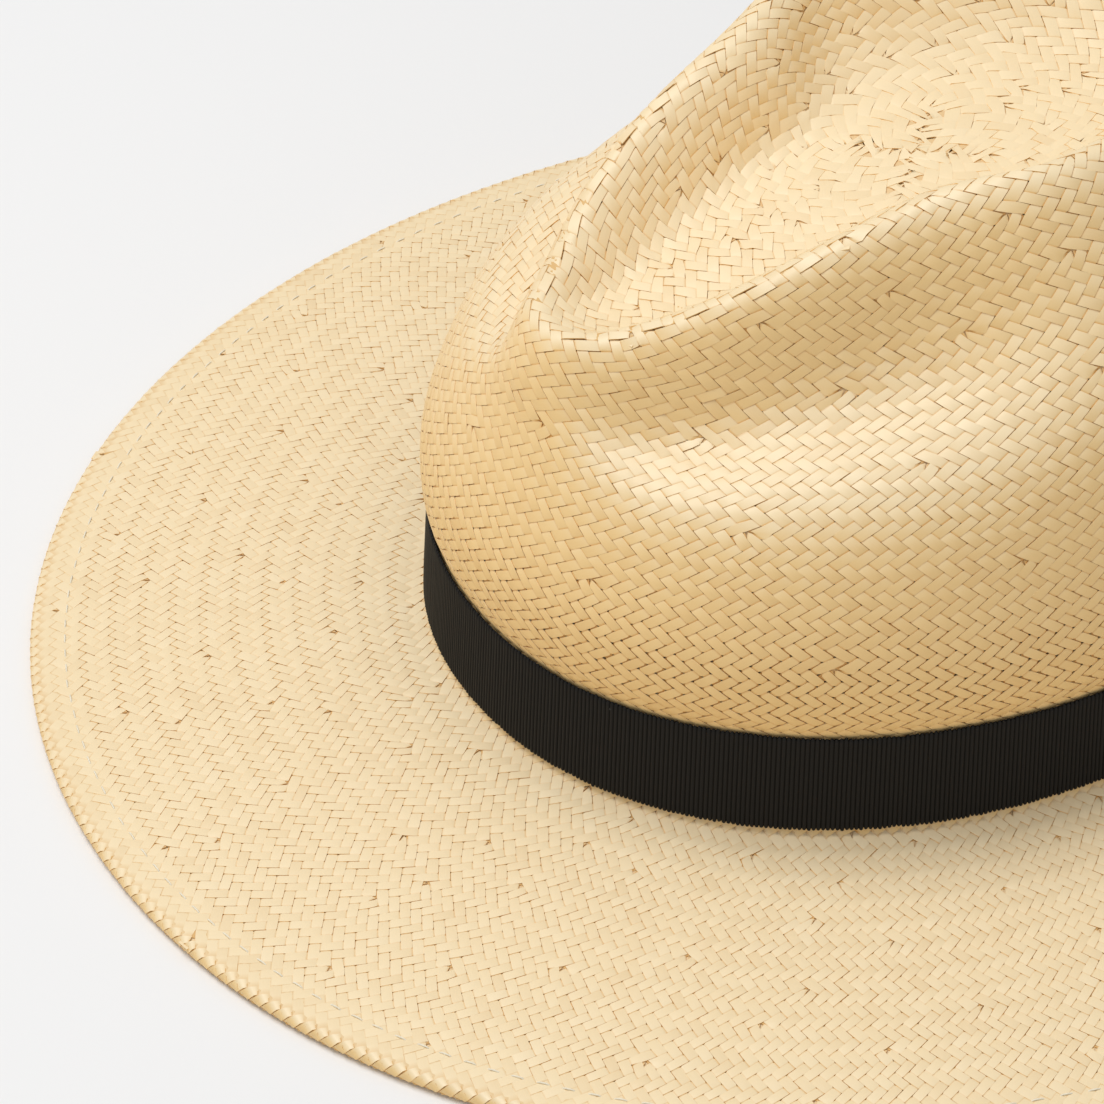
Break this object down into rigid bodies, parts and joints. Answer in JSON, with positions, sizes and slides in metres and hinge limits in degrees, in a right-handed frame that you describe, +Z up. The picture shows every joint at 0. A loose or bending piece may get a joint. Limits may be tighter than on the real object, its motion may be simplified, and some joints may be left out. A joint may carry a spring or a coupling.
{
  "type": "panama hat",
  "caption": "Wide-brimmed woven straw panama hat with a teardrop crown, front pinches, a folded and wired brim edge, a black grosgrain hatband and an inner sweatband",
  "frame": {"origin": "middle of the hat's bounding box on the plane that the underside of the brim rests on", "axes": "+Z up through the crown, -Y out of the front of the hat, +X to the wearer's left"},
  "size_m": [0.324, 0.366, 0.1259],
  "materials": {
    "straw": "satin cream paper straw in a herringbone weave",
    "wire": "drawn spring steel",
    "sleeve": "crimped tube",
    "thread": "cream polyester thread",
    "ribbon": "matt black grosgrain",
    "ribbon_thread": "black thread",
    "sweatband": "cream cotton twill",
    "reed": "smooth extruded reed",
    "tape": "cotton tape"
  },
  "bodies": {
    "root": {"straw_body": "straw", "brim_wire": "wire", "wire_sleeve": "sleeve", "hem_stitching": "thread", "hatband": "ribbon", "hatband_keeper": "ribbon", "hatband_tacks": "ribbon_thread", "sweatband": "sweatband", "sweatband_reed": "reed", "sweatband_stitching": "thread", "sweatband_seam_tape": "tape"}
  },
  "joints": []
}
